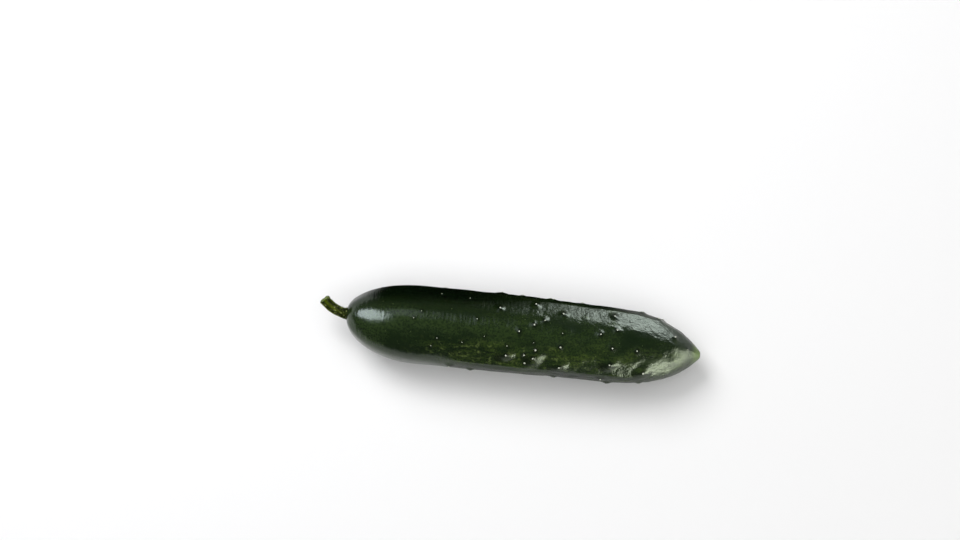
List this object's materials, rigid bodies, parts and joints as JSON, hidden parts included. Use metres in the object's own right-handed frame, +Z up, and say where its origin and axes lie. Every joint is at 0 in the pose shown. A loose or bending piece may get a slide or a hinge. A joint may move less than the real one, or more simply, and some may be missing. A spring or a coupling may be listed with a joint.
{
  "type": "slicing cucumber",
  "caption": "Whole dark green slicing cucumber lying on its side, with a rounded shoulder, a tapered blossom end and the ridged stub of its stem.",
  "frame": {"origin": "middle of the bounding box's underside, on the surface that the cucumber lies on", "axes": "+X along the fruit from the stem to the blossom end, +Y to the side that the stem bends towards, +Z up"},
  "size_m": [0.2156, 0.0442, 0.0433],
  "materials": {
    "cucumber_skin": "satin",
    "stem_green": "matte"
  },
  "bodies": {
    "root": {"fruit": "cucumber_skin", "stem": "stem_green"}
  },
  "joints": []
}
